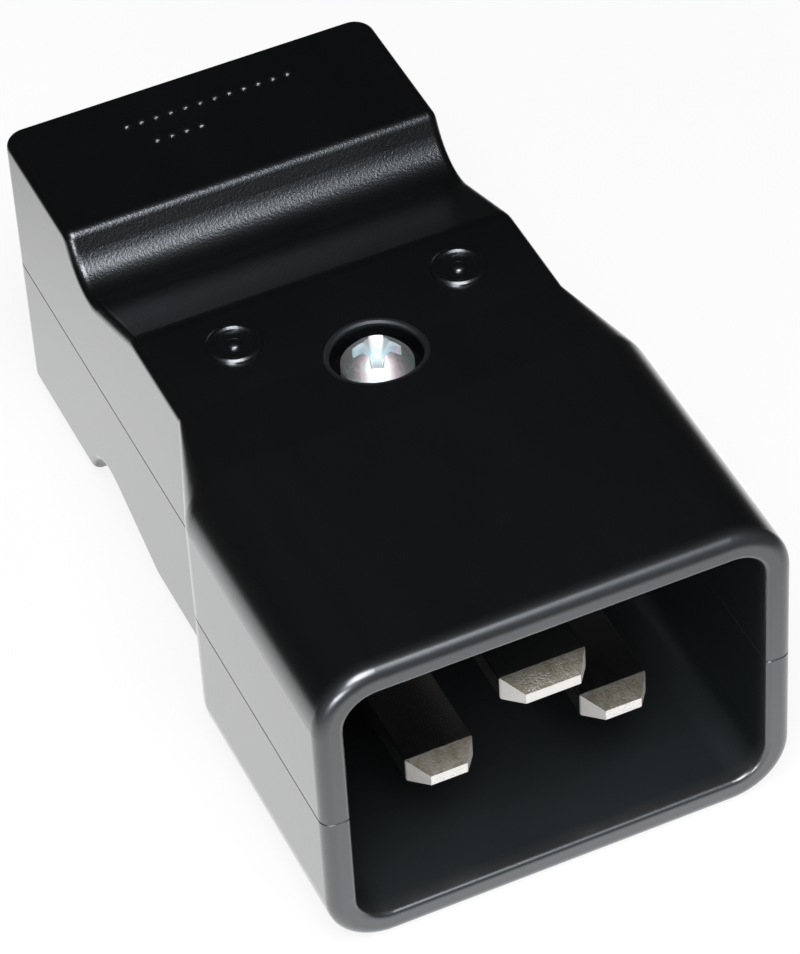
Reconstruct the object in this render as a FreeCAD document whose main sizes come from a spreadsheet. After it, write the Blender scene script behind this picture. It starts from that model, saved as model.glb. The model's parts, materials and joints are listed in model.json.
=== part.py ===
import FreeCAD, Part
import math
import os
import re
import Sketcher

# In-line power plug: flat pins in a rectangular shroud, on a split case with a finger grip.
# Each sub-part is drawn with Y measured back from the rim of the shroud and Z from the seam between
# the case halves. Its placement then brings the origin under the middle of the case: the pins face
# -Y, the cord would enter at +Y, and +Z is up. All sizes are in millimetres.

SIZES = (
    # Shroud that the mating connector slides into
    ("cavity_width", "30.5"),
    ("cavity_depth", "20"),
    ("cavity_corner", "2.5"),
    ("shroud_wall", "2"),
    ("rim_round", "0.9"),
    ("mouth_round", "0.4"),
    # Case behind the shroud: flare, deck, finger groove and grip block
    ("case_length", "62"),
    ("case_height", "25.5"),
    ("front_margin", "1.6"),
    ("flare_length", "7.2"),
    ("flare_round", "3"),
    ("waist_width", "28.9"),
    ("deck_height", "23.2"),
    ("groove_height", "17.3"),
    ("groove_radius", "3.5"),
    ("rise_margin", "0.3"),
    ("block_length", "12.6"),
    ("block_height", "23.2"),
    ("edge_round", "0.7"),
    ("ridge_round", "3"),
    ("step_margin", "0.2"),
    ("rear_corner", "1.6"),
    ("case_wall", "2"),
    ("rear_wall", "4"),
    ("seam_bevel", "0.07"),
    ("entry_diameter", "10"),
    ("entry_round", "0.8"),
    # Pegs that line up the halves
    ("peg_diameter", "1.6"),
    ("peg_length", "1.6"),
    ("peg_margin", "0.55"),
    ("peg_lead", "2.2"),
    # Insulating carrier that holds the pins
    ("plate_thickness", "3"),
    ("carrier_back_gap", "0.25"),
    ("rib_width", "24"),
    ("rib_height", "0.8"),
    ("rib_thickness", "1.6"),
    ("rib_setback", "0.8"),
    # Pins and their tails
    ("pin_spacing", "13"),
    ("row_spacing", "8"),
    ("blade_thickness", "2"),
    ("blade_edge", "0.2"),
    ("live_width", "5"),
    ("live_setback", "4"),
    ("earth_width", "6.3"),
    ("earth_setback", "1"),
    ("tip_length", "1.7"),
    ("tip_side", "1.15"),
    ("tip_flat", "0.85"),
    ("tail_width", "6"),
    ("tail_gap", "0.3"),
    ("tail_margin", "2.9"),
    ("earth_ring_wall", "2.3"),
    ("earth_ring_back", "0.9"),
    # Terminals, reached from the case screw
    ("live_terminal_reach", "6.1"),
    ("earth_terminal_reach", "8"),
    ("clamp_side", "5.6"),
    ("clamp_thickness", "0.8"),
    ("clamp_corner", "0.6"),
    # Screws, all of one thread, with lower heads on the terminals
    ("thread_diameter", "3"),
    ("thread_point", "0.5"),
    ("head_diameter", "5.6"),
    ("head_height", "2.2"),
    ("head_round", "1.1"),
    ("recess_span", "3.3"),
    ("recess_arm", "0.8"),
    ("recess_depth", "1.4"),
    ("terminal_head_height", "1.4"),
    ("terminal_recess_depth", "0.9"),
    ("case_screw_length", "14"),
    ("terminal_screw_length", "5.5"),
    ("bar_screw_length", "9"),
    # Case screw, its counterbore, bosses and insert
    ("screw_gap", "0.5"),
    ("head_gap", "0.5"),
    ("bore_depth", "1.9"),
    ("bore_bevel", "0.15"),
    ("collar_wall", "1.3"),
    ("collar_floor", "1.4"),
    ("boss_diameter", "6.4"),
    ("hole_gap", "0.2"),
    ("insert_wall", "0.8"),
    ("insert_length", "6"),
    ("insert_neck_depth", "0.3"),
    ("insert_neck_length", "1.6"),
    # Cord clamp behind the entry
    ("bar_width", "6"),
    ("bar_side_gap", "0.2"),
    ("bar_ear_thickness", "3"),
    ("bar_hump_wall", "1.5"),
    ("grip_diameter", "8.8"),
    ("post_diameter", "6.5"),
    ("saddle_thickness", "3"),
    ("saddle_drop", "2.4"),
    # Clearances
    ("fit_gap", "0.1"),
    ("slot_gap", "0.05"),
    ("thread_gap", "0.05"),
)

# Places worked out from the sizes above, as words of the sheet
FRONT_HALF_WIDTH = "(cavity_width / 2 + shroud_wall)"
FRONT_HALF_HEIGHT = "(case_height / 2)"
CAVITY_HALF_HEIGHT = "(case_height / 2 - shroud_wall)"
FRONT_CORNER = "(cavity_corner + shroud_wall)"
FRONT_LENGTH = "(cavity_depth + front_margin)"
WAIST_AT = "(cavity_depth + front_margin + flare_length)"
GROOVE_AT = "(case_length - block_length - groove_radius - rise_margin)"
RIDGE_AT = f"({WAIST_AT} / 2 + {GROOVE_AT} / 2)"
BLOCK_AT = "(case_length - block_length)"
REAR_INSIDE = "(case_length - rear_wall)"
CHAMBER_HALF_WIDTH = "(waist_width / 2 - case_wall)"
BORE_DIAMETER = "(head_diameter + 2 * head_gap)"
SCREW_HOLE = "(thread_diameter + 2 * hole_gap)"
SHOULDER_AT = "(cavity_depth + plate_thickness)"
SCREW_AT = f"({SHOULDER_AT} + {BORE_DIAMETER} / 2 + collar_wall + screw_gap)"
CARRIER_END = f"({SCREW_AT} - boss_diameter / 2 - fit_gap)"
CARRIER_BACK_TOP = "(deck_height / 2 - bore_depth - collar_floor - carrier_back_gap)"
TAIL_AT = f"({CARRIER_END} + slot_gap)"
LIVE_TAIL_HALF = "(pin_spacing / 2 - boss_diameter / 2 - tail_gap)"
EARTH_RING_HALF = "(boss_diameter / 2 + fit_gap + earth_ring_wall)"
EARTH_RING_END = f"({SCREW_AT} + boss_diameter / 2 + fit_gap + earth_ring_back)"
LIVE_TERMINAL = f"({SCREW_AT} + live_terminal_reach)"
EARTH_TERMINAL = f"({SCREW_AT} + earth_terminal_reach)"
BAR_AT = "(case_length - (block_length + rear_wall) / 2)"
BAR_HALF = f"({CHAMBER_HALF_WIDTH} - bar_side_gap)"
BAR_SCREW_AT = f"({BAR_HALF} - head_diameter / 2)"
DECK_INSIDE = "(deck_height / 2 - case_wall)"
GROOVE_INSIDE = "(groove_height / 2 - case_wall)"
BLOCK_INSIDE = "(block_height / 2 - case_wall)"
LIVE_LEVEL = "(-row_spacing / 2)"
EARTH_LEVEL = "(row_spacing / 2)"

# How near an edge must lie to a place to count as there, and the least volume that a cut removes
NEAR = 0.01
LEAST_CUT = 0.000001

doc = FreeCAD.newDocument("inline_plug")
sheet = doc.addObject("Spreadsheet::Sheet", "Sizes")
for row, (name, number) in enumerate(SIZES, 1):
    sheet.set(f"A{row}", name)
    sheet.set(f"B{row}", number)
    sheet.setAlias(f"B{row}", name)
doc.recompute()


def formula(words):
    """Expression on the sheet's cells, from words such as "cavity_width / 2"."""
    return re.sub(r"[a-z]\w*", r"Sizes.\g<0>", words)


def number_of(words):
    return float(sheet.evalExpression(formula(words)))


def bind(thing, **bound):
    for name, words in bound.items():
        thing.setExpression(name, formula(words))


def new_body(label, across="0", back="0", up="0", turn=0):
    """Body placed from the middle of the case's underside; turn rolls it about its length."""
    body = doc.addObject("PartDesign::Body", label)
    body.Label = label
    body.Placement = FreeCAD.Placement(FreeCAD.Vector(), FreeCAD.Rotation(FreeCAD.Vector(0, 1, 0), turn))
    body.setExpression("Placement.Base.x", formula(across))
    body.setExpression("Placement.Base.y", formula(f"{back} - case_length / 2"))
    body.setExpression("Placement.Base.z", formula(f"{up} + {FRONT_HALF_HEIGHT}"))
    return body


def new_sketch(body, name, plane, at="0"):
    """Sketch on an origin plane of its body; at is its place along Y for an XZ sketch, Z for an XY one."""
    sketch = body.newObject("Sketcher::SketchObject", f"{body.Name}_{name}")
    support = next(item for item in body.Origin.OriginFeatures if item.Role == plane)
    sketch.AttachmentSupport = [(support, "")]
    sketch.MapMode = "FlatFace"
    facing = "-" if plane == "XZ_Plane" else ""
    sketch.setExpression("AttachmentOffset.Base.z", formula(f"{facing}({at})"))
    return sketch


def dimension(sketch, kind, *where, words):
    index = sketch.addConstraint(Sketcher.Constraint(kind, *where, number_of(words)))
    name = f"size_{index}"
    sketch.renameConstraint(index, name)
    sketch.setExpression(f"Constraints.{name}", formula(words))


def place_point(sketch, piece, end, across, along):
    """Holds an end (1, 2) or centre (3) of a sketch piece at a spot measured from the origin."""
    if across == "0":
        sketch.addConstraint(Sketcher.Constraint("PointOnObject", piece, end, -2))
    else:
        dimension(sketch, "DistanceX", -1, 1, piece, end, words=across)
    if along == "0":
        sketch.addConstraint(Sketcher.Constraint("PointOnObject", piece, end, -1))
    else:
        dimension(sketch, "DistanceY", -1, 1, piece, end, words=along)


def spot(across, along):
    return FreeCAD.Vector(number_of(across), number_of(along), 0)


def draw_polygon(sketch, corners):
    first = sketch.GeometryCount
    for index, corner in enumerate(corners):
        following = corners[(index + 1) % len(corners)]
        sketch.addGeometry(Part.LineSegment(spot(*corner), spot(*following)))
    for index, corner in enumerate(corners):
        following = (index + 1) % len(corners)
        sketch.addConstraint(Sketcher.Constraint("Coincident", first + index, 2, first + following, 1))
        place_point(sketch, first + index, 1, *corner)


def draw_rectangle(sketch, left, right, low, high):
    draw_polygon(sketch, ((left, low), (right, low), (right, high), (left, high)))


def draw_circle(sketch, across, along, diameter):
    radius = number_of(diameter) / 2
    piece = sketch.addGeometry(Part.Circle(spot(across, along), FreeCAD.Vector(0, 0, 1), radius))
    place_point(sketch, piece, 3, across, along)
    dimension(sketch, "Diameter", piece, words=diameter)


def draw_arc(sketch, centre, radius, start, end):
    circle = Part.Circle(centre, FreeCAD.Vector(0, 0, 1), radius)
    return sketch.addGeometry(Part.ArcOfCircle(circle, start, end))


def draw_arch(sketch, half_width, height, corner):
    """Upper part of a rounded rectangle, which reaches a wall's thickness below the seam."""
    foot = "-shroud_wall"
    wide, high, low, round_off = (number_of(words) for words in (half_width, height, foot, corner))
    foot_left = FreeCAD.Vector(-wide, low, 0)
    foot_right = FreeCAD.Vector(wide, low, 0)
    spring_left = FreeCAD.Vector(-wide, high - round_off, 0)
    spring_right = FreeCAD.Vector(wide, high - round_off, 0)
    top_left = FreeCAD.Vector(-wide + round_off, high, 0)
    top_right = FreeCAD.Vector(wide - round_off, high, 0)
    base = sketch.addGeometry(Part.LineSegment(foot_left, foot_right))
    right = sketch.addGeometry(Part.LineSegment(foot_right, spring_right))
    centre = FreeCAD.Vector(wide - round_off, high - round_off, 0)
    right_arc = draw_arc(sketch, centre, round_off, 0, math.pi / 2)
    top = sketch.addGeometry(Part.LineSegment(top_right, top_left))
    centre = FreeCAD.Vector(-wide + round_off, high - round_off, 0)
    left_arc = draw_arc(sketch, centre, round_off, math.pi / 2, math.pi)
    left = sketch.addGeometry(Part.LineSegment(spring_left, foot_left))
    sketch.addConstraint([
        Sketcher.Constraint("Coincident", base, 2, right, 1),
        Sketcher.Constraint("Tangent", right, 2, right_arc, 1),
        Sketcher.Constraint("Tangent", right_arc, 2, top, 1),
        Sketcher.Constraint("Tangent", top, 2, left_arc, 1),
        Sketcher.Constraint("Tangent", left_arc, 2, left, 1),
        Sketcher.Constraint("Coincident", left, 2, base, 1),
        Sketcher.Constraint("Vertical", right),
        Sketcher.Constraint("Vertical", left),
        Sketcher.Constraint("Equal", right_arc, left_arc),
        Sketcher.Constraint("Symmetric", base, 1, base, 2, -2),
    ])
    place_point(sketch, base, 2, half_width, foot)
    dimension(sketch, "DistanceY", -1, 1, top, 1, words=height)
    dimension(sketch, "Radius", right_arc, words=corner)


def touch_angle(centre, radius, point, side):
    """Angle on a circle where a straight line from a point outside it touches."""
    away = point - centre
    return math.atan2(away.y, away.x) + side * math.acos(radius / away.Length)


def draw_grip_outline(sketch):
    """Side of the grip over the seam: deck, ramp into the round groove, rise and block."""
    radius = number_of("groove_radius")
    centre = spot(GROOVE_AT, "groove_height / 2 + groove_radius")
    ridge = spot(RIDGE_AT, "deck_height / 2")
    step = spot(BLOCK_AT, "block_height / 2")
    start = touch_angle(centre, radius, ridge, 1)
    end = touch_angle(centre, radius, step, -1)
    ramp_foot = centre + FreeCAD.Vector(math.cos(start), math.sin(start), 0) * radius
    rise_foot = centre + FreeCAD.Vector(math.cos(end), math.sin(end), 0) * radius
    corners = (
        spot(WAIST_AT, "0"), spot(WAIST_AT, "deck_height / 2"), ridge, ramp_foot, rise_foot, step,
        spot("case_length", "block_height / 2"), spot("case_length", "0"),
    )
    front, deck, ramp, rise, top, rear, base = (
        sketch.addGeometry(Part.LineSegment(corners[a], corners[b]))
        for a, b in ((0, 1), (1, 2), (2, 3), (4, 5), (5, 6), (6, 7), (7, 0))
    )
    groove = draw_arc(sketch, centre, radius, start, end)
    sketch.addConstraint([
        Sketcher.Constraint("Coincident", base, 2, front, 1),
        Sketcher.Constraint("Coincident", front, 2, deck, 1),
        Sketcher.Constraint("Coincident", deck, 2, ramp, 1),
        Sketcher.Constraint("Tangent", ramp, 2, groove, 1),
        Sketcher.Constraint("Tangent", groove, 2, rise, 1),
        Sketcher.Constraint("Coincident", rise, 2, top, 1),
        Sketcher.Constraint("Coincident", top, 2, rear, 1),
        Sketcher.Constraint("Coincident", rear, 2, base, 1),
    ])
    place_point(sketch, front, 1, WAIST_AT, "0")
    place_point(sketch, front, 2, WAIST_AT, "deck_height / 2")
    place_point(sketch, deck, 2, RIDGE_AT, "deck_height / 2")
    place_point(sketch, groove, 3, GROOVE_AT, "groove_height / 2 + groove_radius")
    dimension(sketch, "Radius", groove, words="groove_radius")
    place_point(sketch, rise, 2, BLOCK_AT, "block_height / 2")
    place_point(sketch, top, 2, "case_length", "block_height / 2")
    place_point(sketch, rear, 2, "case_length", "0")


def extrude(body, kind, sketch, length, reverse=False, both=False):
    """Pad or Pocket of a sketch, over a length to one side of it or centred on it."""
    feature = body.newObject(f"PartDesign::{kind}", f"{sketch.Name}_{kind.lower()}")
    feature.Profile = sketch
    feature.Reversed = reverse
    feature.SideType = "Symmetric" if both else "One side"
    bind(feature, Length=length)
    before = body.Shape.Volume if kind == "Pocket" else 0
    doc.recompute()
    if kind == "Pocket" and feature.Shape.Volume > before - LEAST_CUT:
        raise RuntimeError(f"{feature.Name} cuts nothing")
    return feature


def pad_back(body, sketch, length):
    return extrude(body, "Pad", sketch, length, reverse=True)


def cut_back(body, sketch, length):
    return extrude(body, "Pocket", sketch, length)


def cut_up(body, sketch, length):
    return extrude(body, "Pocket", sketch, length, reverse=True)


def lies(edge, **at):
    """Whether an edge lies wholly at the given X, Y or Z."""
    box = edge.BoundBox
    ends = [(getattr(box, axis + end), words) for axis, words in at.items() for end in ("Min", "Max")]
    return all(abs(place - number_of(words)) < NEAR for place, words in ends)


def soften(body, kind, name, size, test):
    """Fillet or Chamfer on the edges of the body's last feature that pass a test."""
    base = body.Tip
    chosen = [f"Edge{index}" for index, edge in enumerate(base.Shape.Edges, 1) if test(edge)]
    if not chosen:
        raise RuntimeError(f"{body.Label} has no edge for {name}")
    feature = body.newObject(f"PartDesign::{kind}", f"{body.Name}_{name}")
    feature.Base = (base, chosen)
    bind(feature, **{"Radius" if kind == "Fillet" else "Size": size})
    doc.recompute()
    return feature


def round_grip(body):
    """Rounds the ridge, the step and the back corners, then the long edges that run over them."""
    soften(body, "Fillet", "ridge", "ridge_round", lambda e: lies(e, Y=RIDGE_AT, Z="deck_height / 2"))
    soften(body, "Fillet", "step", "edge_round + step_margin",
           lambda e: lies(e, Y=BLOCK_AT, Z="block_height / 2"))
    side = number_of("waist_width") / 2
    rear_start = number_of("case_length - rear_corner") - NEAR

    def rear_upright(edge):
        return lies(edge, Y="case_length") and edge.BoundBox.ZLength > NEAR

    def upper_rim(edge):
        box = edge.BoundBox
        on_side = box.XLength < NEAR and abs(abs(box.XMin) - side) < NEAR
        if on_side:
            return box.YLength > NEAR and box.ZMax > NEAR
        return lies(edge, Z="block_height / 2") and box.YMin > rear_start

    soften(body, "Fillet", "rear_corners", "rear_corner", rear_upright)
    soften(body, "Fillet", "upper_rim", "edge_round", upper_rim)


def open_shroud(body):
    """Cavity with its carrier seat, and the rim and mouth rounded."""
    soften(body, "Fillet", "rim", "rim_round", lambda e: lies(e, Y="0") and e.BoundBox.ZMax > NEAR)
    cavity = new_sketch(body, "cavity", "XZ_Plane")
    draw_arch(cavity, "cavity_width / 2", CAVITY_HALF_HEIGHT, "cavity_corner")
    cut_back(body, cavity, SHOULDER_AT)
    reach = number_of("cavity_width / 2") + NEAR
    top = number_of(CAVITY_HALF_HEIGHT) + NEAR

    def mouth(edge):
        box = edge.BoundBox
        inside = box.XMax < reach and box.XMin > -reach and NEAR < box.ZMax < top
        return inside and lies(edge, Y="0")

    soften(body, "Fillet", "mouth", "mouth_round", mouth)
    groove = new_sketch(body, "rib_groove", "XZ_Plane", "cavity_depth + rib_setback - fit_gap")
    half = "(rib_width / 2 + fit_gap)"
    draw_rectangle(groove, f"-{half}", half, "0", f"{CAVITY_HALF_HEIGHT} + rib_height + fit_gap")
    cut_back(body, groove, "rib_thickness + 2 * fit_gap")


def hollow_grip(body):
    """Wiring chamber under the deck, groove and block, and half of the cord entry."""
    chamber = new_sketch(body, "chamber", "YZ_Plane")
    draw_polygon(chamber, (
        (SHOULDER_AT, "0"), (SHOULDER_AT, DECK_INSIDE), (RIDGE_AT, DECK_INSIDE), (GROOVE_AT, GROOVE_INSIDE),
        (f"({BLOCK_AT} + case_wall)", BLOCK_INSIDE), (REAR_INSIDE, BLOCK_INSIDE), (REAR_INSIDE, "0"),
    ))
    extrude(body, "Pocket", chamber, f"2 * {CHAMBER_HALF_WIDTH}", both=True)
    entry = new_sketch(body, "entry", "XZ_Plane", REAR_INSIDE)
    draw_circle(entry, "0", "0", "entry_diameter")
    cut_back(body, entry, "rear_wall")
    reach = number_of("entry_diameter / 2") + NEAR

    def entry_lip(edge):
        box = edge.BoundBox
        return lies(edge, Y="case_length") and NEAR < box.ZMax < reach and abs(box.XMin) < reach

    soften(body, "Fillet", "entry_lip", "entry_round", entry_lip)


def half_case(label, turn):
    """What both halves of the case share, drawn above the seam; turn lays the lower half under it."""
    body = new_body(label, turn=turn)
    outline = new_sketch(body, "grip_outline", "YZ_Plane")
    draw_grip_outline(outline)
    extrude(body, "Pad", outline, "waist_width", both=True)
    round_grip(body)
    waist = new_sketch(body, "waist", "XZ_Plane", WAIST_AT)
    draw_arch(waist, "waist_width / 2", "deck_height / 2", "edge_round")
    flare_start = new_sketch(body, "flare_start", "XZ_Plane", FRONT_LENGTH)
    draw_arch(flare_start, FRONT_HALF_WIDTH, FRONT_HALF_HEIGHT, FRONT_CORNER)
    doc.recompute()
    flare = body.newObject("PartDesign::AdditiveLoft", f"{label}_flare")
    flare.Profile = waist
    flare.Sections = [flare_start]
    flare.Ruled = True
    doc.recompute()
    front = new_sketch(body, "front", "XZ_Plane")
    draw_arch(front, FRONT_HALF_WIDTH, FRONT_HALF_HEIGHT, FRONT_CORNER)
    pad_back(body, front, FRONT_LENGTH)
    below = new_sketch(body, "below_seam", "XY_Plane")
    reach = f"({FRONT_HALF_WIDTH} + waist_width)"
    draw_rectangle(below, f"-{reach}", reach, "-shroud_wall", "case_length")
    extrude(body, "Pocket", below, "2 * shroud_wall")
    soften(body, "Fillet", "flare_edge", "flare_round",
           lambda e: lies(e, Y=FRONT_LENGTH) and e.BoundBox.ZMax > NEAR)
    open_shroud(body)
    hollow_grip(body)
    return body


def bevel_seam(body):
    """Fine bevel along the outside of the seam, which shows as a line once the halves meet."""
    waist_side = number_of("waist_width / 2") - NEAR
    rim_inside = number_of("cavity_width / 2 + mouth_round") - NEAR
    entry_side = number_of("entry_diameter / 2 + entry_round") - NEAR
    rear_start = number_of("case_length - rear_corner") - NEAR
    rim_end = number_of("rim_round") + NEAR

    def outside(edge):
        box = edge.BoundBox
        across = min(abs(box.XMin), abs(box.XMax))
        if not lies(edge, Z="0"):
            return False
        if box.YMin > rear_start:
            return across > entry_side
        if box.YMax < rim_end:
            return across > rim_inside
        in_cavity = lies(edge, X="cavity_width / 2") or lies(edge, X="-cavity_width / 2")
        return across > waist_side and not in_cavity

    soften(body, "Chamfer", "seam", "seam_bevel", outside)


def draw_pegs(sketch, diameter):
    """Pegs, or their sockets, in the wall beside the flare and beside the cord entry."""
    front = (f"({CHAMBER_HALF_WIDTH} + peg_margin + peg_diameter / 2)", f"({WAIST_AT} - peg_lead)")
    rear = ("(entry_diameter / 4 + waist_width / 4)", "(case_length - rear_wall / 2)")
    for across, back in (front, rear):
        for sign in ("-", ""):
            draw_circle(sketch, f"{sign}{across}", back, diameter)


def add_boss(body):
    """Round boss around the case screw, from the seam up into the wall."""
    boss = new_sketch(body, "boss", "XY_Plane")
    draw_circle(boss, "0", SCREW_AT, "boss_diameter")
    extrude(body, "Pad", boss, "deck_height / 2 - case_wall / 2")


def upper_shell():
    body = half_case("upper_shell", turn=0)
    floor = "(deck_height / 2 - bore_depth)"
    collar = new_sketch(body, "collar", "XY_Plane", f"{floor} - collar_floor")
    draw_circle(collar, "0", SCREW_AT, f"{BORE_DIAMETER} + 2 * collar_wall")
    extrude(body, "Pad", collar, "bore_depth + collar_floor - case_wall / 2")
    add_boss(body)
    bore = new_sketch(body, "bore", "XY_Plane", floor)
    draw_circle(bore, "0", SCREW_AT, BORE_DIAMETER)
    cut_up(body, bore, "bore_depth + case_wall")
    hole = new_sketch(body, "screw_hole", "XY_Plane")
    draw_circle(hole, "0", SCREW_AT, SCREW_HOLE)
    cut_up(body, hole, "deck_height / 2")
    bore_side = number_of(f"{BORE_DIAMETER} / 2") + NEAR
    bore_floor = number_of(floor) + NEAR

    def bore_lip(edge):
        box = edge.BoundBox
        away = max(abs(place - number_of(SCREW_AT)) for place in (box.YMin, box.YMax))
        return box.ZMin > bore_floor and box.XMax < bore_side and box.XMin > -bore_side and away < bore_side

    soften(body, "Chamfer", "bore_lip", "bore_bevel", bore_lip)
    sockets = new_sketch(body, "peg_sockets", "XY_Plane")
    draw_pegs(sockets, "peg_diameter + 2 * fit_gap")
    cut_up(body, sockets, "peg_length + fit_gap")
    bevel_seam(body)
    return body


def lower_shell():
    body = half_case("lower_shell", turn=180)
    add_boss(body)
    seat = new_sketch(body, "insert_seat", "XY_Plane")
    draw_circle(seat, "0", SCREW_AT, "thread_diameter + 2 * insert_wall + 2 * slot_gap")
    cut_up(body, seat, "insert_length")
    relief = new_sketch(body, "screw_relief", "XY_Plane")
    draw_circle(relief, "0", SCREW_AT, SCREW_HOLE)
    cut_up(body, relief, DECK_INSIDE)
    posts = new_sketch(body, "bar_posts", "XY_Plane")
    for sign in ("-", ""):
        draw_circle(posts, f"{sign}{BAR_SCREW_AT}", BAR_AT, "post_diameter")
    extrude(body, "Pad", posts, "block_height / 2 - case_wall / 2")
    saddle = new_sketch(body, "saddle", "XZ_Plane", f"{BAR_AT} - saddle_thickness / 2")
    saddle_foot = "block_height / 2 - case_wall / 2"
    draw_rectangle(saddle, f"-{BAR_SCREW_AT}", BAR_SCREW_AT, "saddle_drop", saddle_foot)
    pad_back(body, saddle, "saddle_thickness")
    trough = new_sketch(body, "cord_trough", "XZ_Plane", f"{BAR_AT} - saddle_thickness / 2")
    draw_circle(trough, "0", "0", "grip_diameter")
    cut_back(body, trough, "saddle_thickness")
    threads = new_sketch(body, "bar_threads", "XY_Plane")
    for sign in ("-", ""):
        draw_circle(threads, f"{sign}{BAR_SCREW_AT}", BAR_AT, "thread_diameter + 2 * thread_gap")
    cut_up(body, threads, "bar_screw_length - bar_ear_thickness + fit_gap")
    pegs = new_sketch(body, "pegs", "XY_Plane")
    draw_pegs(pegs, "peg_diameter")
    extrude(body, "Pad", pegs, "peg_length", reverse=True)
    bevel_seam(body)
    return body


def pin_carrier():
    body = new_body("pin_carrier")
    plate = new_sketch(body, "plate", "XZ_Plane", "cavity_depth")
    half_width = "(cavity_width / 2 - fit_gap)"
    half_height = f"({CAVITY_HALF_HEIGHT} - fit_gap)"
    draw_rectangle(plate, f"-{half_width}", half_width, f"-{half_height}", half_height)
    pad_back(body, plate, "plate_thickness")
    soften(body, "Fillet", "corners", "cavity_corner", lambda e: e.BoundBox.YLength > NEAR)
    rib = new_sketch(body, "rib", "XZ_Plane", "cavity_depth + rib_setback")
    rib_top = f"({CAVITY_HALF_HEIGHT} + rib_height)"
    draw_rectangle(rib, "-rib_width / 2", "rib_width / 2", f"-{rib_top}", rib_top)
    pad_back(body, rib, "rib_thickness")
    back = new_sketch(body, "back", "XZ_Plane", SHOULDER_AT)
    half_back = f"({CHAMBER_HALF_WIDTH} - carrier_back_gap)"
    draw_rectangle(back, f"-{half_back}", half_back, f"-{CARRIER_BACK_TOP}", CARRIER_BACK_TOP)
    pad_back(body, back, f"{CARRIER_END} - {SHOULDER_AT}")
    slots = new_sketch(body, "slots", "XZ_Plane", "cavity_depth")
    for middle, width, level in (("(-pin_spacing / 2)", "live_width", LIVE_LEVEL),
                                 ("(pin_spacing / 2)", "live_width", LIVE_LEVEL),
                                 ("0", "earth_width", EARTH_LEVEL)):
        half_slot = f"({width} / 2 + slot_gap)"
        half_gap = "(blade_thickness / 2 + slot_gap)"
        draw_rectangle(slots, f"{middle} - {half_slot}", f"{middle} + {half_slot}",
                       f"{level} - {half_gap}", f"{level} + {half_gap}")
    cut_back(body, slots, f"{CARRIER_END} - cavity_depth")
    return body


def finish_pin(body, width, setback, terminal):
    """Bevels a pin's tip above and below, eases its blade's long edges and makes its screw hole."""
    bevels = new_sketch(body, "tip_bevels", "YZ_Plane")
    for sign in ("-", ""):
        draw_polygon(bevels, ((setback, f"{sign}tip_flat / 2"), (setback, f"{sign}blade_thickness / 2"),
                              (f"({setback} + tip_length)", f"{sign}blade_thickness / 2")))
    extrude(body, "Pocket", bevels, f"2 * {width}", both=True)
    half_width = number_of(f"{width} / 2")
    blade_end = number_of(TAIL_AT) + NEAR

    def long_edge(edge):
        box = edge.BoundBox
        on_side = box.XLength < NEAR and abs(abs(box.XMin) - half_width) < NEAR
        return on_side and box.ZLength < NEAR and box.YLength > NEAR and box.YMax < blade_end

    soften(body, "Fillet", "blade_edges", "blade_edge", long_edge)
    hole = new_sketch(body, "terminal_hole", "XY_Plane")
    draw_circle(hole, "0", terminal, "thread_diameter + 2 * thread_gap")
    extrude(body, "Pocket", hole, "2 * blade_thickness", both=True)
    return body


def live_pin(label, across):
    body = new_body(label, across=across, up=LIVE_LEVEL)
    tail_end = f"({LIVE_TERMINAL} + tail_margin)"
    right = (
        ("(live_width / 2 - tip_side)", "live_setback"), ("live_width / 2", "(live_setback + tip_length)"),
        ("live_width / 2", TAIL_AT), (LIVE_TAIL_HALF, TAIL_AT), (LIVE_TAIL_HALF, tail_end),
    )
    left = tuple((f"-{x}", y) for x, y in reversed(right))
    outline = new_sketch(body, "outline", "XY_Plane")
    draw_polygon(outline, right + left)
    extrude(body, "Pad", outline, "blade_thickness", both=True)
    return finish_pin(body, "live_width", "live_setback", LIVE_TERMINAL)


def earth_pin():
    """Earth pin, whose tail widens into a ring around the screw boss on its way to its terminal."""
    body = new_body("earth_pin", up=EARTH_LEVEL)
    tail_end = f"({EARTH_TERMINAL} + tail_margin)"
    right = (
        ("(earth_width / 2 - tip_side)", "earth_setback"),
        ("earth_width / 2", "(earth_setback + tip_length)"), ("earth_width / 2", TAIL_AT),
        (EARTH_RING_HALF, TAIL_AT), (EARTH_RING_HALF, EARTH_RING_END),
        ("tail_width / 2", EARTH_RING_END), ("tail_width / 2", tail_end),
    )
    left = tuple((f"-{x}", y) for x, y in reversed(right))
    outline = new_sketch(body, "outline", "XY_Plane")
    draw_polygon(outline, right + left)
    extrude(body, "Pad", outline, "blade_thickness", both=True)
    ring = new_sketch(body, "ring", "XY_Plane")
    draw_circle(ring, "0", SCREW_AT, "boss_diameter + 2 * fit_gap")
    extrude(body, "Pocket", ring, "2 * blade_thickness", both=True)
    return finish_pin(body, "earth_width", "earth_setback", EARTH_TERMINAL)


def wire_clamp(label, across, back, level):
    """Square plate that the terminal screw presses on the wire, lying on the pin's tail."""
    body = new_body(label, across=across, back=back, up=f"{level} + blade_thickness / 2")
    plate = new_sketch(body, "plate", "XY_Plane")
    draw_rectangle(plate, "-clamp_side / 2", "clamp_side / 2", "-clamp_side / 2", "clamp_side / 2")
    extrude(body, "Pad", plate, "clamp_thickness")
    soften(body, "Fillet", "corners", "clamp_corner", lambda e: e.BoundBox.ZLength > NEAR)
    hole = new_sketch(body, "hole", "XY_Plane")
    draw_circle(hole, "0", "0", "thread_diameter + 2 * fit_gap")
    cut_up(body, hole, "clamp_thickness")
    return body


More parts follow.
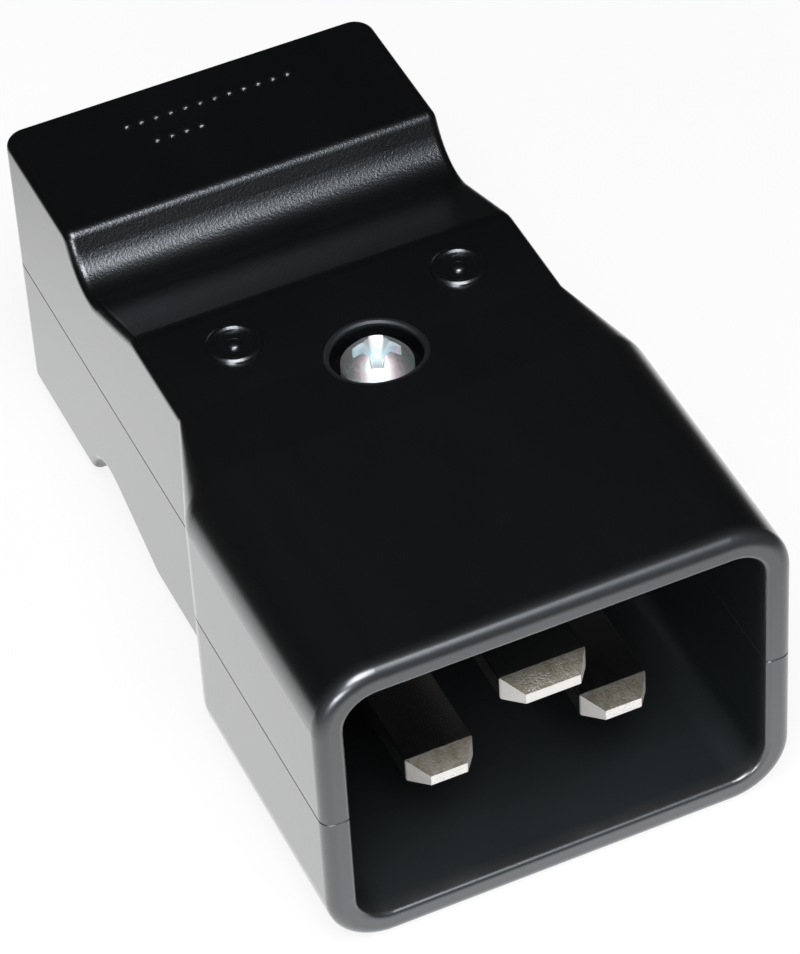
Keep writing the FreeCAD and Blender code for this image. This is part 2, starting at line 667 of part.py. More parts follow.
def pan_screw(label, length, across, back, up, kind=""):
    """Pan-head screw with a cross recess, drawn with the underside of its head at the origin.
    kind names the head that it has where that is not the case screw's."""
    body = new_body(label, across=across, back=back, up=up)
    height = f"{kind}head_height"
    profile = new_sketch(body, "profile", "XZ_Plane")
    point = "(thread_diameter / 2 - thread_point)"
    draw_polygon(profile, (
        ("0", f"-{length}"), (point, f"-{length}"), ("thread_diameter / 2", f"(thread_point - {length})"),
        ("thread_diameter / 2", "0"), ("head_diameter / 2", "0"), ("head_diameter / 2", height),
        ("0", height),
    ))
    turned = body.newObject("PartDesign::Revolution", f"{label}_turned")
    turned.Profile = profile
    turned.ReferenceAxis = (profile, ["V_Axis"])
    doc.recompute()
    soften(body, "Fillet", "crown", "head_round",
           lambda e: lies(e, Z=height) and e.BoundBox.XLength > NEAR)
    cross = new_sketch(body, "recess", "XY_Plane", height)
    tip, arm = "recess_span / 2", "recess_arm / 2"
    draw_polygon(cross, (
        (arm, arm), (arm, tip), (f"-{arm}", tip), (f"-{arm}", arm), (f"-{tip}", arm),
        (f"-{tip}", f"-{arm}"), (f"-{arm}", f"-{arm}"), (f"-{arm}", f"-{tip}"), (arm, f"-{tip}"),
        (arm, f"-{arm}"), (tip, f"-{arm}"), (tip, arm),
    ))
    extrude(body, "Pocket", cross, f"{kind}recess_depth")
    return body


def case_insert():
    """Threaded brass insert, flush with the seam, with a neck that keys it into the boss."""
    body = new_body("case_insert", back=SCREW_AT)
    profile = new_sketch(body, "profile", "XZ_Plane")
    inner = "(thread_diameter / 2 + thread_gap)"
    outer = "(thread_diameter / 2 + insert_wall)"
    neck = "(thread_diameter / 2 + insert_wall - insert_neck_depth)"
    neck_top = "-(insert_length - insert_neck_length) / 2"
    neck_foot = "-(insert_length + insert_neck_length) / 2"
    draw_polygon(profile, (
        (inner, "0"), (outer, "0"), (outer, neck_top), (neck, neck_top), (neck, neck_foot),
        (outer, neck_foot), (outer, "-insert_length"), (inner, "-insert_length"),
    ))
    turned = body.newObject("PartDesign::Revolution", "case_insert_turned")
    turned.Profile = profile
    turned.ReferenceAxis = (profile, ["V_Axis"])
    doc.recompute()
    return body


def cord_bar():
    """Saddle that presses the cord's sheath into the trough, standing on the two posts."""
    body = new_body("cord_bar", back=BAR_AT)
    ears = new_sketch(body, "ears", "XZ_Plane", "-bar_width / 2")
    draw_rectangle(ears, f"-{BAR_HALF}", BAR_HALF, "0", "bar_ear_thickness")
    pad_back(body, ears, "bar_width")
    hump = new_sketch(body, "hump", "XZ_Plane", "-bar_width / 2")
    draw_circle(hump, "0", "0", "grip_diameter + 2 * bar_hump_wall")
    pad_back(body, hump, "bar_width")
    under = new_sketch(body, "underside", "XZ_Plane", "-bar_width / 2")
    draw_rectangle(under, f"-{BAR_HALF}", BAR_HALF, "-grip_diameter", "0")
    cut_back(body, under, "bar_width")
    arch = new_sketch(body, "arch", "XZ_Plane", "-bar_width / 2")
    draw_circle(arch, "0", "0", "grip_diameter")
    cut_back(body, arch, "bar_width")
    holes = new_sketch(body, "holes", "XY_Plane")
    for sign in ("-", ""):
        draw_circle(holes, f"{sign}{BAR_SCREW_AT}", "0", "thread_diameter + 2 * fit_gap")
    cut_up(body, holes, "bar_ear_thickness")
    return body


def group(label, pieces):
    node = doc.addObject("Part::Compound", label)
    node.Label = label
    node.Links = pieces
    doc.recompute()
    return node


TERMINALS = (
    ("line", "(-pin_spacing / 2)", LIVE_TERMINAL, LIVE_LEVEL),
    ("neutral", "(pin_spacing / 2)", LIVE_TERMINAL, LIVE_LEVEL),
    ("earth", "0", EARTH_TERMINAL, EARTH_LEVEL),
)

sub_parts = [
    upper_shell(),
    lower_shell(),
    pin_carrier(),
    live_pin("line_pin", "-pin_spacing / 2"),
    live_pin("neutral_pin", "pin_spacing / 2"),
    earth_pin(),
    pan_screw("case_screw", "case_screw_length", "0", SCREW_AT, "deck_height / 2 - bore_depth"),
    case_insert(),
    cord_bar(),
]
for pole, across, back, level in TERMINALS:
    sub_parts.append(wire_clamp(f"{pole}_clamp", across, back, level))
sub_parts.append(group("terminal_screws", [
    pan_screw(f"{pole}_screw", "terminal_screw_length", across, back,
              f"{level} + blade_thickness / 2 + clamp_thickness", kind="terminal_")
    for pole, across, back, level in TERMINALS
]))
sub_parts.append(group("cord_bar_screws", [
    pan_screw(f"{side}_bar_screw", "bar_screw_length", f"{sign}{BAR_SCREW_AT}", BAR_AT, "bar_ear_thickness")
    for side, sign in (("left", "-"), ("right", ""))
]))

doc.recompute()
for item in doc.Objects:
    if {"Invalid", "Error"} & set(item.State):
        raise RuntimeError(f"{item.Name} failed: {item.State}")
for part in sub_parts:
    if part.Shape.isNull() or not part.Shape.isValid():
        raise RuntimeError(f"{part.Label} has no valid shape")

os.makedirs("parts", exist_ok=True)
for part in sub_parts:
    part.Shape.exportStep(f"parts/{part.Label}.step")
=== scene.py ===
import json
import math
import bpy
from mathutils import Matrix, Vector


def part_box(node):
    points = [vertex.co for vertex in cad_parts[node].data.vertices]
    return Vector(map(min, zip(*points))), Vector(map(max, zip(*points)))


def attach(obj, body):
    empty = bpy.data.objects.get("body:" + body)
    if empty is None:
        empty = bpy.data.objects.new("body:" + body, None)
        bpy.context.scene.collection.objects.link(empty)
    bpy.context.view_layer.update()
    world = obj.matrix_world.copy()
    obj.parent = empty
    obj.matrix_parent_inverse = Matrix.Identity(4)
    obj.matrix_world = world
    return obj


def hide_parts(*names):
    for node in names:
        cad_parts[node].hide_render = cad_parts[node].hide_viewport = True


# Looks of the in-line plug. Lengths on the plug are written in millimetres, and MM turns them into metres.
MM = 0.001
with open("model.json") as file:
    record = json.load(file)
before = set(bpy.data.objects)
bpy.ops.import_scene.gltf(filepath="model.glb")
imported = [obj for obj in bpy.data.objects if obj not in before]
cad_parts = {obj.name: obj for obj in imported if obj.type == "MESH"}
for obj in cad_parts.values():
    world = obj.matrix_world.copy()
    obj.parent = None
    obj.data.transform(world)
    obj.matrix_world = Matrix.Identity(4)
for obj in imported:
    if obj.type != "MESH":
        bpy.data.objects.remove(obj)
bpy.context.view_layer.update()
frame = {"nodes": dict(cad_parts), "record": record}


def corners(node):
    """Lowest and highest corner of one of the frame's nodes, in millimetres."""
    return [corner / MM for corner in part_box(node)]


def top_middle(node):
    """Middle of a node's top, in millimetres."""
    low, high = corners(node)
    return ((low.x + high.x) / 2, (low.y + high.y) / 2, high.z)


# The case's faces and its seam, the carrier's front face and the pins' tips
UPPER_LOW, UPPER_HIGH = corners("upper_shell")
CASE_FRONT = UPPER_LOW.y
CASE_SIDE = UPPER_HIGH.x
CASE_TOP = UPPER_HIGH.z
SEAM = UPPER_LOW.z
CARRIER_FRONT = corners("pin_carrier")[0].y
LINE_TIP = corners("line_pin")[0].y
EARTH_TIP = corners("earth_pin")[0].y

# The deck around the case screw and the block behind the finger groove lie a step below the shroud's top
DECK_TOP = CASE_TOP - 1.15
BLOCK_TOP = DECK_TOP

# Seats of the screws' heads: above the brass insert, on the clamps and on the ends of the cord bar.
# The solids of the case screw and of the bar's screws end HEAD_HEIGHT above their seats.
HEAD_HEIGHT = 2.2
BAR_END_TO_SCREW = 2.8
SCREW_ACROSS, SCREW_BACK, _ = top_middle("case_insert")
CASE_SEAT = (SCREW_ACROSS, SCREW_BACK, corners("case_screw")[1].z - HEAD_HEIGHT)
TERMINAL_SEATS = [top_middle(clamp) for clamp in ("line_clamp", "neutral_clamp", "earth_clamp")]
BAR_REACH = corners("cord_bar")[1].x - BAR_END_TO_SCREW
BAR_BACK = top_middle("cord_bar")[1]
BAR_LEVEL = corners("cord_bar_screws")[1].z - HEAD_HEIGHT
BAR_SEATS = [(side * BAR_REACH, BAR_BACK, BAR_LEVEL) for side in (-1, 1)]

# Middles of the ring marks, and the first dot of each row
RING_MIDDLES = [(-8.3, 2.5, DECK_TOP), (8.7, 2.5, DECK_TOP)]
LONG_ROW = (-6, 27.4, BLOCK_TOP)
SHORT_ROW = (-4.6, 25, BLOCK_TOP)

# Pairs of places between which the case's finish changes softly. OPENING_SIDE is measured from the middle of
# the plug and BORE_WALL from the screw's axis.
GRIP = (-6, 8)
OPENING_SIDE = (CASE_SIDE - 1.85, CASE_SIDE - 1.35)
OPENING_FLOOR = (1.3, 1.8)
OPENING_ROOF = (CASE_TOP - 1.8, CASE_TOP - 1.3)
OPENING_FRONT = (CASE_FRONT + 0.2, CASE_FRONT + 1.5)
OPENING_BACK = (CARRIER_FRONT, CARRIER_FRONT + 1)
RIM = (CASE_FRONT + 1.6, CASE_FRONT + 0.1)
BORE_WALL = (3.6, 3.75)
BORE_EDGE = (DECK_TOP - 0.55, DECK_TOP - 0.25)

# The same for the pins: between their two rows, and back from the tips, where the bevels end
BETWEEN_ROWS = (SEAM - 0.05, SEAM + 0.05)
BEVEL_END = (1.55, 1.8)


class Wire:
    """A value on its way through a node tree. Sums, products and so on add the nodes that work them out."""

    def __init__(self, bench, socket):
        self.bench = bench
        self.socket = socket

    def maths(self, operation, *values):
        return self.bench.node("ShaderNodeMath", {"operation": operation}, dict(enumerate(values)))

    def __add__(self, other):
        return self.maths("ADD", self, other)

    def __sub__(self, other):
        return self.maths("SUBTRACT", self, other)

    def __rsub__(self, other):
        return self.maths("SUBTRACT", other, self)

    def __mul__(self, other):
        return self.maths("MULTIPLY", self, other)

    def __truediv__(self, other):
        return self.maths("DIVIDE", self, other)

    def __rtruediv__(self, other):
        return self.maths("DIVIDE", other, self)

    def __abs__(self):
        return self.maths("ABSOLUTE", self)

    __radd__ = __add__
    __rmul__ = __mul__


class Bench:
    """A node tree that is being wired up, for a finish, the room or Geometry Nodes."""

    def __init__(self, tree):
        self.tree = tree

    def node(self, kind, settings=None, sockets=None, out=0):
        """Adds any node: its settings first, then a value or a wire for each socket. Returns one output."""
        made = self.tree.nodes.new(kind)
        for name, value in (settings or {}).items():
            setattr(made, name, value)
        for key, value in (sockets or {}).items():
            self.feed(self.find(made.inputs, key), value)
        return Wire(self, self.find(made.outputs, out)) if made.outputs else None

    def find(self, sockets, key):
        """A socket by its number, identifier or name."""
        if isinstance(key, int):
            return sockets[key]
        return next((socket for socket in sockets if socket.identifier == key), None) or sockets[key]

    def feed(self, socket, value):
        """Gives a socket a plain value, a wire or a list of wires."""
        wires = value if isinstance(value, list) else [value]
        for wire in wires:
            if isinstance(wire, Wire):
                self.tree.links.new(wire.socket, socket)
            else:
                socket.default_value = wire

    def axes(self, vector):
        """The three parts of a vector."""
        split = self.node("ShaderNodeSeparateXYZ", {}, {0: vector}).socket.node
        return [Wire(self, part) for part in split.outputs]

    def vector(self, x, y, z):
        return self.node("ShaderNodeCombineXYZ", {}, {"X": x, "Y": y, "Z": z})

    def length(self, vector):
        return self.node("ShaderNodeVectorMath", {"operation": "LENGTH"}, {0: vector}, out="Value")

    def noise(self, at, scale, detail, roughness):
        values = {"Vector": at, "Scale": scale, "Detail": detail, "Roughness": roughness}
        return self.node("ShaderNodeTexNoise", {}, values)

    def stretch(self, at, scale):
        return self.node("ShaderNodeMapping", {}, {"Vector": at, "Scale": scale})

    def step(self, value, low, high):
        """Soft step from 0 at low to 1 at high."""
        values = {"Value": value, "From Min": low, "From Max": high}
        return self.node("ShaderNodeMapRange", {"interpolation_type": "SMOOTHSTEP"}, values)

    def past(self, place, limits):
        """Soft step between two places on the plug, given in millimetres."""
        low, high = limits
        return self.step(place, low * MM, high * MM)

    def blend(self, share, first, second):
        values = {"Factor_Float": share, "A_Color": first, "B_Color": second}
        return self.node("ShaderNodeMix", {"data_type": "RGBA"}, values, out="Result_Color")

    def bump(self, height, depth, strength):
        values = {"Height": height, "Distance": depth * MM, "Strength": strength}
        return self.node("ShaderNodeBump", {}, values)


def empty_bench(owner):
    """Bench on the emptied node tree of a material or a world."""
    owner.use_nodes = True
    owner.node_tree.nodes.clear()
    return Bench(owner.node_tree)


def make_finish(surface):
    """Material of one shader, named after the function that works out its sockets."""
    material = bpy.data.materials.new(surface.__name__)
    bench = empty_bench(material)
    at = bench.node("ShaderNodeTexCoord", out="Object")
    shader = bench.node("ShaderNodeBsdfPrincipled", {}, surface(bench, at))
    bench.node("ShaderNodeOutputMaterial", {}, {"Surface": shader})
    return material


def case_plastic(bench, at):
    """Black moulding: smooth on the shroud, scuffed on its rim, dull inside it and sparked on the grip."""
    deep_black = (0.002, 0.0023, 0.0024, 1)
    soft_black = (0.0048, 0.0052, 0.0054, 1)
    sparked_black = (0.0006, 0.0007, 0.0007, 1)
    dull_black = (0.0024, 0.0032, 0.0035, 1)
    dull_grey = (0.006, 0.0082, 0.0082, 1)
    scuffed_grey = (0.08, 0.085, 0.092, 1)

    across, back, up = bench.axes(at)
    inside = (1 - bench.past(abs(across), OPENING_SIDE)) * bench.past(up, OPENING_FLOOR)
    inside = inside * (1 - bench.past(up, OPENING_ROOF)) * bench.past(back, OPENING_FRONT)
    inside = inside * (1 - bench.past(back, OPENING_BACK))
    rim = bench.past(back, RIM)
    from_screw = bench.length(bench.vector(across, back - SCREW_BACK * MM, 0))
    bore = 1 - bench.past(from_screw, BORE_WALL)
    bore_edge = bore * bench.past(up, BORE_EDGE)
    sideways = bench.axes(bench.node("ShaderNodeNewGeometry", out="Normal"))[0]
    side = bench.step(abs(sideways), 0.75, 0.95)
    sparked = bench.past(back, GRIP) * (1 - side)

    grain = bench.noise(at, scale=5400, detail=2, roughness=0.5)
    flow = bench.noise(bench.stretch(at, (1, 0.3, 1)), scale=140, detail=4, roughness=0.55)
    scuffs = bench.step(bench.noise(at, scale=1100, detail=6, roughness=0.7), 0.6, 0.74)
    colour = bench.blend(flow, deep_black, soft_black)
    colour = bench.blend(sparked * 0.6, colour, sparked_black)
    colour = bench.blend(inside, colour, bench.blend(grain, dull_black, dull_grey))
    colour = bench.blend(rim * (0.25 + scuffs * 0.3), colour, scuffed_grey)
    roughness = 0.22 + flow * 0.06 + sparked * 0.05 + (rim - side) * 0.1 + inside * 0.2 + bore_edge * 0.3
    return {
        "Base Color": colour,
        "Roughness": roughness,
        "IOR": 1.8,
        "Coat Weight": 1 - inside * 0.8 - sparked * (0.75 - bore * 0.75) - bore * 0.95,
        "Coat Roughness": 0.24,
        "Coat IOR": 1.6,
        "Specular Tint": (0.84, 0.91, 1, 1),
        "Normal": bench.bump(grain * (0.1 + sparked * 2.1 + inside * 0.5), depth=0.016, strength=0.6),
    }


def carrier_plastic(bench, at):
    """Smooth black moulding of the pin carrier and the cord bar."""
    deep_black = (0.007, 0.0075, 0.008, 1)
    soft_black = (0.017, 0.0175, 0.018, 1)
    flow = bench.noise(bench.stretch(at, (1, 1, 0.4)), scale=220, detail=4, roughness=0.55)
    grain = bench.noise(at, scale=5200, detail=2, roughness=0.5)
    return {
        "Base Color": bench.blend(flow, deep_black, soft_black),
        "Roughness": 0.34 + flow * 0.12,
        "IOR": 1.55,
        "Normal": bench.bump(grain, depth=0.01, strength=0.4),
    }


def pin_plating(bench, at):
    """Nickel on brass, drawn bright along the blade and left rough and warm where the tip is coined."""
    bright_nickel = (0.96, 0.94, 0.92, 1)
    stained_nickel = (0.73, 0.66, 0.53, 1)
    worn_brass = (0.22, 0.195, 0.135, 1)

    _, back, up = bench.axes(at)
    earth_row = bench.past(up, BETWEEN_ROWS)
    from_tip = back - LINE_TIP * MM + earth_row * ((LINE_TIP - EARTH_TIP) * MM)
    tip = 1 - bench.past(from_tip, BEVEL_END)
    sideways, _, upright = bench.axes(bench.node("ShaderNodeNewGeometry", out="True Normal"))
    sheared = bench.step(abs(sideways), 0.3, 0.6) * tip
    coined = bench.step(abs(upright), 0.5, 0.8) * tip

    lines = bench.noise(bench.stretch(at, (1, 0.04, 1)), scale=5200, detail=3, roughness=0.6)
    stain = bench.step(bench.noise(at, scale=1300, detail=4, roughness=0.65), 0.36, 0.66)
    pits = bench.step(bench.noise(at, scale=7000, detail=2, roughness=0.5), 0.44, 0.68)
    colour = bench.blend(stain * (0.15 + coined * 0.7), bright_nickel, stained_nickel)
    worn = coined * (0.6 + stain * 0.25 + pits * 0.12)
    return {
        "Base Color": bench.blend(worn, colour, worn_brass),
        "Metallic": 1,
        "Roughness": 0.1 + lines * 0.1 + coined * 0.2 + sheared * 0.45 + stain * 0.04,
        "Normal": bench.bump(lines * 0.4 - pits * tip, depth=0.01, strength=0.5),
    }


def screw_zinc(bench, at):
    """Bright zinc plating with a faint blue and pink tint."""
    blue_tint = (0.8, 0.93, 0.95, 1)
    pink_tint = (0.96, 0.86, 0.91, 1)
    tint = bench.step(bench.noise(at, scale=700, detail=3, roughness=0.6), 0.35, 0.65)
    frost = bench.noise(at, scale=5000, detail=3, roughness=0.6)
    return {
        "Base Color": bench.blend(tint, blue_tint, pink_tint),
        "Metallic": 1,
        "Roughness": 0.36 + frost * 0.3,
        "Normal": bench.bump(frost, depth=0.006, strength=0.4),
    }


def insert_brass(bench, at):
    """Turned brass."""
    bright_brass = (0.8, 0.6, 0.28, 1)
    dull_brass = (0.6, 0.42, 0.2, 1)
    rings = bench.noise(bench.stretch(at, (0.05, 0.05, 1)), scale=6000, detail=2, roughness=0.5)
    dull = bench.noise(at, scale=500, detail=4, roughness=0.6)
    return {
        "Base Color": bench.blend(dull, bright_brass, dull_brass),
        "Metallic": 1,
        "Roughness": 0.24 + rings * 0.2,
        "Normal": bench.bump(rings, depth=0.006, strength=0.5),
    }


def clamp_steel(bench, at):
    """Pressed steel, zinc plated and grained by the rolling."""
    bright_zinc = (0.66, 0.66, 0.64, 1)
    dull_zinc = (0.5, 0.5, 0.49, 1)
    lines = bench.noise(bench.stretch(at, (0.06, 1, 1)), scale=4200, detail=3, roughness=0.6)
    dull = bench.noise(at, scale=420, detail=4, roughness=0.6)
    return {
        "Base Color": bench.blend(dull, bright_zinc, dull_zinc),
        "Metallic": 1,
        "Roughness": 0.3 + lines * 0.2,
        "Normal": bench.bump(lines, depth=0.005, strength=0.5),
    }


SURFACES = (case_plastic, carrier_plastic, pin_plating, screw_zinc, insert_brass, clamp_steel)
finishes = {surface.__name__: make_finish(surface) for surface in SURFACES}
for entry in frame["record"]["subparts"]:
    node = frame["nodes"][entry["node"]]
    node.data.materials.clear()
    node.data.materials.append(finishes[entry["material_slot"]])


def new_tree(name, inputs):
    """Geometry Nodes tree with its named inputs, as a bench and a wire for each input."""
    tree = bpy.data.node_groups.new(name, "GeometryNodeTree")
    for label, kind in inputs:
        tree.interface.new_socket(label, in_out="INPUT", socket_type=f"NodeSocket{kind}")
    tree.interface.new_socket("Pieces", in_out="OUTPUT", socket_type="NodeSocketGeometry")
    bench = Bench(tree)
    given = bench.node("NodeGroupInput").socket.node
    return bench, {socket.name: Wire(bench, socket) for socket in given.outputs if socket.name}


def close_tree(bench, places, shape, turn, finish):
    """Ends a tree: the shape on each place, made real, smooth but for its sharp edges, in its finish."""
    sharp_angle = math.radians(32)
    values = {"Points": places, "Instance": shape, "Rotation": bench.vector(0, 0, turn)}
    placed = bench.node("GeometryNodeInstanceOnPoints", {}, values)
    real = bench.node("GeometryNodeRealizeInstances", {}, {"Geometry": placed})
    values = {"Geometry": real, "Shade Smooth": True}
    smooth = bench.node("GeometryNodeSetShadeSmooth", {"domain": "FACE"}, values)
    angle = bench.node("GeometryNodeInputMeshEdgeAngle")
    sharp = bench.node("FunctionNodeCompare", {"operation": "GREATER_THAN"}, {0: angle, 1: sharp_angle})
    values = {"Geometry": smooth, "Selection": sharp, "Shade Smooth": False}
    edged = bench.node("GeometryNodeSetShadeSmooth", {"domain": "EDGE"}, values)
    painted = bench.node("GeometryNodeSetMaterial", {}, {"Geometry": edged, "Material": finish})
    bench.node("NodeGroupOutput", {}, {"Pieces": painted})
    return bench.tree


def move(bench, shape, **how):
    """A shape with a translation, rotation or scale."""
    sockets = {"Geometry": shape}
    sockets.update({name.capitalize(): value for name, value in how.items()})
    return bench.node("GeometryNodeTransform", {}, sockets)


def join(bench, shapes):
    return bench.node("GeometryNodeJoinGeometry", {}, {"Geometry": shapes})


def cone(bench, sides, top, bottom, depth):
    """Upright cone from its two radii, standing on the origin."""
    values = {"Vertices": sides, "Radius Top": top, "Radius Bottom": bottom, "Depth": depth}
    return bench.node("GeometryNodeMeshCone", {}, values)


def circle(bench, points, radius):
    return bench.node("GeometryNodeCurvePrimitiveCircle", {}, {"Resolution": points, "Radius": radius})


def sweep(bench, path, section, capped):
    values = {"Curve": path, "Profile Curve": section, "Fill Caps": capped}
    return bench.node("GeometryNodeCurveToMesh", {}, values)


def cross_recess(bench, given):
    """Cutters for the cross: two bars that taper downwards and a round pit where they meet."""
    # Shares of the recess's depth, of a bar's size at its top and of half the span
    overshoot = 1.15
    bar_taper = 0.5
    pit_top = 0.62
    pit_bottom = 0.12
    depth = given["Recess depth"]
    foot = bench.vector(0, 0, given["Head height"] - depth)
    tall = depth * overshoot
    half_span = given["Recess span"] / 2
    half_width = given["Recess width"] / 2
    corner = math.sqrt(2)
    diamond = cone(bench, sides=4, top=corner, bottom=corner * bar_taper, depth=1.0)
    square = move(bench, diamond, rotation=(0, 0, math.radians(45)))
    pit = cone(bench, sides=32, top=half_span * pit_top, bottom=half_span * pit_bottom, depth=tall)
    return [
        move(bench, square, translation=foot, scale=bench.vector(half_span, half_width, tall)),
        move(bench, square, translation=foot, scale=bench.vector(half_width, half_span, tall)),
        move(bench, pit, translation=foot),
    ]


def screw_head(bench, given):
    """Head that falls away to its rim, with its underside at the origin and the cross cut into it."""
    rim_fall = 0.6
    radius = given["Head diameter"] / 2
    height = given["Head height"]
    blank = bench.node("GeometryNodeMeshCylinder", {"fill_type": "TRIANGLE_FAN"}, {
        "Vertices": 96, "Side Segments": 3, "Fill Segments": 10, "Radius": radius, "Depth": height,
    })
    x, y, z = bench.axes(bench.node("GeometryNodeInputPosition"))
    outwards = (x * x + y * y) / (radius * radius)
    level = (z + height / 2) * (1 - outwards * rim_fall)
    values = {"Geometry": blank, "Position": bench.vector(x, y, level)}
    domed = bench.node("GeometryNodeSetPosition", {}, values)
    return bench.node("GeometryNodeMeshBoolean", {"operation": "DIFFERENCE", "solver": "EXACT"},
                      {"Mesh 1": domed, "Mesh 2": cross_recess(bench, given)})


def screw_shank(bench, given):
    """Round core below the origin and the ridge of the thread that winds round it."""
    ridge_share = 0.34
    pitch = given["Pitch"]
    length = given["Length"]
    crest = pitch * ridge_share
    core_radius = given["Thread diameter"] / 2 - crest
    values = {"Vertices": 32, "Radius": core_radius, "Depth": length}
    core = bench.node("GeometryNodeMeshCylinder", {}, values)
    spiral = bench.node("GeometryNodeCurveSpiral", {}, {
        "Resolution": 28, "Rotations": length / pitch - 1, "Height": length - pitch,
        "Start Radius": core_radius, "End Radius": core_radius,
    })
    thread = sweep(bench, spiral, circle(bench, points=6, radius=crest), capped=True)
    return [
        move(bench, core, translation=bench.vector(0, 0, length * -0.5)),
        move(bench, thread, translation=bench.vector(0, 0, pitch / 2 - length)),
    ]


def screw_tree():
    """Pan-head screws: a domed head with a tapered cross recess, on a threaded shank."""
    bench, given = new_tree("pan_head_screws", (
        ("Places", "Geometry"), ("Head diameter", "Float"), ("Head height", "Float"),
        ("Recess span", "Float"), ("Recess width", "Float"), ("Recess depth", "Float"),
        ("Thread diameter", "Float"), ("Length", "Float"), ("Pitch", "Float"),
        ("Turn", "Float"), ("Spread", "Float"), ("Seed", "Int"), ("Finish", "Material"),
    ))
    screw = join(bench, [screw_head(bench, given), *screw_shank(bench, given)])
    chance = bench.node("FunctionNodeRandomValue", {"data_type": "FLOAT"}, {
        "Min_001": -1.0, "Max_001": 1.0, "Seed": given["Seed"],
    }, out="Value_001")
    turn = given["Turn"] + chance * given["Spread"]
    return close_tree(bench, given["Places"], screw, turn, given["Finish"])


def raised_dot(bench, given):
    """Low round dot, half of it sunk in the surface."""
    diameter = given["Dot diameter"]
    values = {"Segments": 20, "Rings": 10, "Radius": diameter / 2}
    ball = bench.node("GeometryNodeMeshUVSphere", {}, values)
    return move(bench, ball, scale=bench.vector(1, 1, given["Height"] * 2 / diameter))


def ring_mark_tree():
    """Round mould marks: a low raised ring with a dot in its middle."""
    bench, given = new_tree("ring_marks", (
        ("Places", "Geometry"), ("Ring diameter", "Float"), ("Band", "Float"), ("Dot diameter", "Float"),
        ("Height", "Float"), ("Finish", "Material"),
    ))
    path = circle(bench, points=64, radius=given["Ring diameter"] / 2)
    section = circle(bench, points=10, radius=given["Band"] / 2)
    ring = sweep(bench, path, section, capped=False)
    low_ring = move(bench, ring, scale=bench.vector(1, 1, given["Height"] * 2 / given["Band"]))
    mark = join(bench, [low_ring, raised_dot(bench, given)])
    return close_tree(bench, given["Places"], mark, turn=0.0, finish=given["Finish"])


def dot_row_tree():
    """Rows of raised dots."""
    bench, given = new_tree("dot_rows", (
        ("Places", "Geometry"), ("Count", "Int"), ("Step", "Float"), ("Dot diameter", "Float"),
        ("Height", "Float"), ("Finish", "Material"),
    ))
    values = {"Count": given["Count"], "Offset": bench.vector(given["Step"], 0, 0)}
    line = bench.node("GeometryNodeMeshLine", {}, values)
    values = {"Points": line, "Instance": raised_dot(bench, given)}
    row = bench.node("GeometryNodeInstanceOnPoints", {}, values)
    return close_tree(bench, given["Places"], row, turn=0.0, finish=given["Finish"])


def show(name, data):
    """New object of the scene, which starts at the origin."""
    made = bpy.data.objects.new(name, data)
    bpy.context.scene.collection.objects.link(made)
    return made


def grow(name, tree, places, slot, sizes, *nodes):
    """Runs a tree on some places and keeps what it makes as a plain mesh, in place of any nodes named."""
    spots = bpy.data.meshes.new(f"{name}_places")
    spots.from_pydata([Vector(place) * MM for place in places], [], [])
    holder = show(f"{name}_places", spots)
    modifier = holder.modifiers.new("tree", "NODES")
    modifier.node_group = tree
    values = dict(sizes, Finish=finishes[slot])
    for item in tree.interface.items_tree:
        if item.in_out == "INPUT" and item.name in values:
            modifier[item.identifier] = values[item.name]
    graph = bpy.context.evaluated_depsgraph_get()
    mesh = bpy.data.meshes.new_from_object(holder.evaluated_get(graph), depsgraph=graph)
    mesh.name = name
    bpy.data.objects.remove(holder)
    piece = show(name, mesh)
    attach(piece, "root")
    if nodes:
        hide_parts(*nodes)


def screw_sizes(length, head, head_height, recess_depth, turn=0, spread=0):
    """Inputs of the screws' tree, from millimetres and degrees."""
    return {
        "Head diameter": head * MM, "Head height": head_height * MM, "Recess span": 4.4 * MM,
        "Recess width": 1.25 * MM, "Recess depth": recess_depth * MM, "Thread diameter": 3 * MM,
        "Length": length * MM, "Pitch": 0.5 * MM, "Turn": math.radians(turn),
        "Spread": math.radians(spread), "Seed": 7,
    }


screws = screw_tree()
case_sizes = screw_sizes(length=14, head=5.1, head_height=2.9, recess_depth=1.9, turn=-22)
terminal_sizes = screw_sizes(length=5.5, head=5.6, head_height=1.4, recess_depth=0.9, spread=40)
bar_sizes = screw_sizes(length=9, head=5.6, head_height=HEAD_HEIGHT, recess_depth=1.4, spread=40)
grow("case_screw_bright", screws, [CASE_SEAT], "screw_zinc", case_sizes, "case_screw")
grow("terminal_screws_bright", screws, TERMINAL_SEATS, "screw_zinc", terminal_sizes, "terminal_screws")
grow("cord_bar_screws_bright", screws, BAR_SEATS, "screw_zinc", bar_sizes, "cord_bar_screws")

rings = {"Ring diameter": 3.4 * MM, "Band": 0.66 * MM, "Dot diameter": 1.2 * MM, "Height": 0.3 * MM}
grow("deck_marks", ring_mark_tree(), RING_MIDDLES, "case_plastic", rings)
dots = {"Step": 1.15 * MM, "Dot diameter": 0.8 * MM, "Height": 0.2 * MM}
dot_rows = dot_row_tree()
grow("block_dots", dot_rows, [LONG_ROW], "case_plastic", dict(dots, Count=12))
grow("block_dots_short", dot_rows, [SHORT_ROW], "case_plastic", dict(dots, Count=4))


def light(name, direction, distance, size, power):
    """Soft lamp that faces the origin, with its distance and size in metres and its power in watts."""
    lamp = bpy.data.lights.new(name, "AREA")
    lamp.shape = "RECTANGLE"
    lamp.size, lamp.size_y = size
    lamp.energy = power
    holder = show(name, lamp)
    towards = Vector(direction).normalized()
    holder.location = towards * distance
    holder.rotation_euler = towards.to_track_quat("Z", "Y").to_euler()


